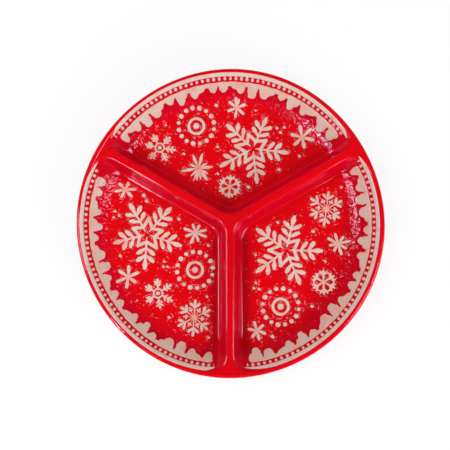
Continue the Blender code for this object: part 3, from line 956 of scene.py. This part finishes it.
def glazed_dish():
    """Clear glaze over a red ground, and over pale slip wherever the paint value slip is above 0."""
    made, tree, shader = new_material("red_glaze_with_pale_slip")
    where = add(tree, "TexCoord", output="Object")
    slip, worked, pink, shade_and_pool = (add(tree, "Attribute", output="Fac", attribute_name=name) for name in PAINTS)
    depth = (where.noise(0.8, 3) - 0.5).scaled(0.55, slip)
    cover = depth.fade(-0.16, 0.20)

    # The pale slip: cream, warmer in clouds, darker on the wall by painted shade, with a sandy grain, pink
    # where it is thin
    cream = where.noise(16, 4).fade(0.46, 0.70).blend(CREAM, CREAM_WARM)
    out = add(tree, "VectorMath", {0: where, 1: (1, 1, 0)}, operation="MULTIPLY")
    radius = add(tree, "VectorMath", {0: out}, "Value", operation="LENGTH")
    # Painted shade: the slip darkens from 122 to 131 mm out, up the wall
    on_wall = radius.fade(122 * MM, 131 * MM) * 0.36
    sand = where.noise(1.5, 3, 0.7).fade(0.42, 0.66) * 0.30
    cream = (on_wall + sand).blend(cream, CREAM_SHADE_AND_GRAIN)
    cream = radius.fade(141.5 * MM, 143.0 * MM).blend(cream, CREAM_GREY)
    stain = where.noise(11, 4, 0.6).fade(0.52, 0.70)
    thin = depth.fade(0.75, 0.05) * 0.42
    tint = stain.scaled(0.48, pink * 0.75) + thin
    pale = tint.maths("MINIMUM", 0.92).blend(cream, PINK)

    # The red ground: painted shade at the foot of the relief, with echo lines and specks round the motifs,
    # partly painted glints
    # Painted shade: the red is darkened beside the relief and by the last paint value, painted shade with
    # some pooled glaze
    shade = (depth.fade(-1.0, -0.15) * 0.45).maths("MAXIMUM", shade_and_pool)
    ground = shade.blend(red_ground(where), RED_DEEP)
    cell = add(tree, "TexVoronoi", {"Vector": where, "Scale": 1 / (FLECK_PITCH * MM)})
    chosen = add(tree, "SeparateColor", {0: cell.sibling("Color")})
    marks_and_glints = cell.fade(0.26, 0.14) * chosen.fade(0.84, 0.88)
    outside = where.noise(3.2, 1).scaled(-0.9, slip.scaled(-1.0, 0.45))
    for centre, wave, least in ECHOES:
        line = (outside - centre).maths("ABSOLUTE").fade(0.52, 0.18)
        marks_and_glints = marks_and_glints.maths("MAXIMUM", line * where.noise(wave, 0).fade(least, least + 0.04))
    marks_and_glints = marks_and_glints * worked.fade(0.5, 0.9) * depth.fade(-0.25, -0.7)
    marks_and_glints = marks_and_glints * where.noise(9, 2).fade(0.32, 0.60).scaled(0.62, 0.10)
    # Partly painted glints: pale pink specks and echo lines beside the motifs, partly marks in the glaze
    ground = marks_and_glints.blend(ground, SPECK_AND_GLINT)

    # Height in millimetres: orange peel, pitted ground, soft ripples, raised marks
    peel = where.noise(6.5, 1) * 0.09
    fine = where.noise(1.1, 2) * worked.scaled(0.050, 0.010)
    wall = radius.fade(108 * MM, 116 * MM)
    ripple = where.noise(2.6, 1) * (worked * wall.scaled(-0.16, 0.30))
    ripple = where.noise(4.0, 1).scaled(worked * (wall * 0.70), ripple)
    height = (peel + fine) + (ripple + marks_and_glints * 0.20)

    feed(shader, {
        "Base Color": cover.blend(ground, pale),
        "Roughness": cover.scaled(0.12, where.noise(6, 3).scaled(0.05, 0.04)),
        "IOR": 1.52,
        "Specular IOR Level": 0.42,
        "Normal": height.bump(),
    })
    return made


def bare_foot():
    """Buff clay on the ring's resting face, with the glaze's wavering edge on its sides."""
    made, tree, shader = new_material("buff_clay_and_glaze_edge")
    where = add(tree, "TexCoord", output="Object")
    height = add(tree, "SeparateXYZ", {0: where}, 2)
    edge = where.noise(9, 3).scaled(1.6 * MM, 1.0 * MM)
    glazed = (height - edge).fade(-0.0001, 0.00025)
    clay = where.noise(4, 4, 0.65).blend(CLAY, CLAY_PALE)
    sand = where.noise(0.7, 2).fade(0.62, 0.74) * 0.6
    feed(shader, {
        "Base Color": glazed.blend(sand.blend(clay, CLAY_SAND), red_ground(where)),
        "Roughness": glazed.scaled(-0.72, 0.86),
        "Normal": (where.noise(0.6, 3) * 0.12).bump(),
    })
    return made


MATERIALS = {"red_glaze": glazed_dish(), "bare_clay": bare_foot()}


# Pieces

def build_wells():
    for well, middle in WELL_ANGLES.items():
        for kind, radii, low_radii in (
            ("floor", floor_radii(FINE), floor_radii(ROUGH * 2)),
            ("outer_wall", wall_radii(FINE), wall_radii(ROUGH)),
        ):
            top = sampled(upper, [(well_angles(middle, r, FINE), r) for r in radii])
            low = sampled(lower, [(well_angles(middle, r, ROUGH), r) for r in low_radii])
            make_piece(f"decorated_{kind}_{well}", f"{kind}_{well}", top, low)


def build_arms():
    radii = np.concatenate([floor_radii(FINE)[:-1], wall_radii(FINE)])
    low_radii = np.concatenate([floor_radii(ROUGH * 2)[:-1], wall_radii(ROUGH)])
    for arm, angle in ARM_ANGLES.items():
        top = sampled(upper, [(arm_angles(angle, r), r) for r in radii])
        low = sampled(lower, [(arm_angles(angle, r, False), r) for r in low_radii])
        make_piece(f"glazed_divider_{arm}", f"divider_{arm}", top, low, map_style="rows")


def build_hub():
    sides = []
    start = arm_angles(ARM_ANGLES["upper_right"], HUB_R, False)[0]
    for surface, spacing in ((upper, HUB_FINE), (lower, ROUGH)):
        rows = [(np.zeros(1), 0.0)]
        for r in np.linspace(0, HUB_R, steps(HUB_R, spacing) + 1)[1:-1]:
            rows.append((start + even_angles(3 * steps(2 * HALF_WELL * r, spacing)), r))
        rows.append((around(HUB_R, surface is upper), HUB_R))
        sides.append(sampled(surface, rows))
    make_piece("glazed_divider_hub", "divider_hub", *sides, closed=True)


def lip_row(angles, bend):
    """Points round the lip, bend radians out from its top, raised by the pale line."""
    radius = LIP_R + LIP * sin(bend)
    x, y = plan(angles, radius)
    line = border_distance(x, y)[1]
    raised = rise(line, LINE_RISE)
    out, back = (rise(border_distance(*plan(angles, radius + h))[1], LINE_RISE) for h in (STENCIL, -STENCIL))
    tilt = (out - back) / (2 * STENCIL) * cos(bend)
    if abs(bend) > pi / 2:
        raised, tilt = raised * 0, tilt * 0
    normal = outward(angles, sin(bend), cos(bend))
    along = outward(angles, cos(bend), -sin(bend))
    points = outward(angles, radius, LIP_Z + LIP * cos(bend)) + normal * raised[:, None]
    return Row(points, unit(normal - along * tilt[:, None]), painted(len(x), -line, pink=blush(x, y)))


def build_rim():
    fine = around(JOINT_R, True)
    even = fine[0] + even_angles(LIP_LOW_POINTS)
    top = [upper(*plan(fine, JOINT_R))]
    top += [lip_row(fine, bend) for bend in np.linspace(-SLOPE, LIP_FINE_END, LIP_ROWS + 1)[1:]]
    top += [lip_row(even, bend) for bend in np.linspace(LIP_FINE_END, pi - SLOPE, LIP_LOW_ROWS + 1)[1:]]
    low = [lower(*plan(around(JOINT_R, False), JOINT_R))]
    make_piece("glazed_rim", "rim", top, low, closed=True, map_style="rows")


def build_foot_ring():
    """A turned ring: flared root, straight sides, rounded edges and a flat resting face."""
    turns = [pi / 2 * i / RING_STEPS for i in range(RING_STEPS + 1)]
    curves = [(1 - sin(turn), 1 - cos(turn)) for turn in turns]
    side = [(RING_HALF + RING_FLARE * a, UNDER_Z - RING_FLARE * b) for a, b in curves]
    side += [(RING_HALF - RING_EDGE * b, RING_EDGE * a) for a, b in curves]
    profile = np.array([(RING_R + a, z) for a, z in side] + [(RING_R - a, z) for a, z in reversed(side)])
    ahead, behind = np.roll(profile, -1, 0), np.roll(profile, 1, 0)
    ahead[-1], behind[0] = profile[-1], profile[0]
    tangent = ahead - behind
    normal = unit(np.stack([-tangent[:, 1], tangent[:, 0]], 1))
    angles = even_angles(RING_POINTS)
    rows = []
    for (r, z), (nr, nz) in zip(profile, normal):
        rows.append(Row(outward(angles, r, z), unit(outward(angles, nr, nz)), painted(RING_POINTS)))
    make_piece("turned_foot_ring", "foot_ring", rows, rows[-1:], True, "rows", "bare_clay")


build_wells()
build_arms()
build_hub()
build_rim()
build_foot_ring()


# Studio

# name, azimuth, elevation, distance, width, height, radiance, and whether only the glaze sees it.
# radiance is what the lamp's face shows, where 1 is a white surface's.
LAMPS = (
    ("soft_high_west", 180, 55, 1.40, 0.90, 0.90, 2.9, False),
    ("soft_low_south_east", 315, 25, 1.40, 0.90, 0.90, 4.4, False),
    ("window_west", 184, 41, 1.10, 0.32, 0.36, 13.0, True),
    ("window_south_west", 219.5, 40, 1.15, 0.08, 0.34, 50.0, True),
    ("window_east", 350, 28, 1.05, 0.18, 0.14, 8.5, True),
    ("window_south_east", 335, 43, 1.10, 0.36, 0.32, 11.0, True),
    ("window_south_west_pale", 234, 38, 1.15, 0.18, 0.20, 4.5, True),
)
DAYLIGHT = (0.62, 0.74, 1.0)
WORLD_LIGHT = 0.66
WORLD_MIRRORED = 0.03
TABLE_HALF = 6.0
TABLE_GAP = 0.0002  # keeps the table's face clear of the foot ring's
TABLE_GLOW = 0.82
CAMERA_ANGLE = 37.805
CAMERA_PLACE = (8.38, -34.81, 681.99)
CAMERA_AIM = (-4.934, -2.811, 33.0)


def build_table():
    material, tree, shader = new_material("white_table")
    feed(shader, {"Base Color": TABLE_WHITE, "Roughness": 0.7, "Specular IOR Level": 0.1})
    glow = add(tree, "Emission", {"Color": WHITE, "Strength": 1.0})
    seen = add(tree, "LightPath", output="Is Camera Ray") * TABLE_GLOW
    mixed = add(tree, "MixShader", {0: seen, 1: Value(shader.outputs[0]), 2: glow})
    feed(tree.nodes["Material Output"], {"Surface": mixed})
    mesh = bpy.data.meshes.new("table")
    corners = [(x * TABLE_HALF, y * TABLE_HALF, 0) for x, y in ((-1, -1), (1, -1), (1, 1), (-1, 1))]
    mesh.from_pydata(corners, [], [(0, 1, 2, 3)])
    mesh.materials.append(material)
    table = new_object("table", mesh)
    table.location.z = -TABLE_GAP


def build_world():
    """White to the camera, dim in the glaze and a plain light on everything else."""
    world = bpy.data.worlds.new("studio")
    bpy.context.scene.world = world
    world.use_nodes = True
    tree = world.node_tree
    light = tree.nodes["Background"]
    feed(light, {"Color": WHITE, "Strength": WORLD_LIGHT})
    mirrored = add(tree, "Background", {"Color": WHITE, "Strength": WORLD_MIRRORED})
    white = add(tree, "Background", {"Color": WHITE, "Strength": 1.0})
    rays = add(tree, "LightPath", output="Is Glossy Ray")
    mixed = add(tree, "MixShader", {0: rays, 1: Value(light.outputs[0]), 2: mirrored})
    mixed = add(tree, "MixShader", {0: rays.sibling("Is Camera Ray"), 1: mixed, 2: white})
    feed(tree.nodes["World Output"], {"Surface": mixed})


def softbox(name, azimuth, elevation, distance, width, height, radiance, mirrored):
    """An area lamp aimed at the dish: either the light itself or only its picture in the glaze."""
    lamp = bpy.data.lights.new(name, "AREA")
    lamp.shape = "RECTANGLE"
    lamp.size = width
    lamp.size_y = height
    lamp.energy = radiance * pi * width * height
    placed = new_object(name, lamp)
    placed.visible_glossy = mirrored
    placed.visible_diffuse = not mirrored
    if mirrored:
        lamp.color = DAYLIGHT
    a, e = radians(azimuth), radians(elevation)
    flat = distance * cos(e)
    placed.location = (flat * cos(a), flat * sin(a), distance * sin(e))
    placed.rotation_euler = (pi / 2 - e, 0, a + pi / 2)


def build_camera():
    camera = new_object("camera", bpy.data.cameras.new("camera"))
    camera.data.sensor_width = 36
    camera.data.angle = radians(CAMERA_ANGLE)
    place = np.array(CAMERA_PLACE) * MM
    aim = np.array(CAMERA_AIM) * MM
    forward = (aim - place) / np.linalg.norm(aim - place)
    right = np.cross(forward, (0, 1, 0))
    right /= np.linalg.norm(right)
    up = np.cross(right, forward)
    matrix = np.eye(4)
    matrix[:3] = np.stack([right, up, -forward, place], 1)
    camera.matrix_world = Matrix(matrix.tolist())
    bpy.context.scene.camera = camera


build_table()
build_world()
for lamp in LAMPS:
    softbox(*lamp)
build_camera()
bpy.context.scene.view_settings.view_transform = "Standard"

bpy.context.view_layer.update()
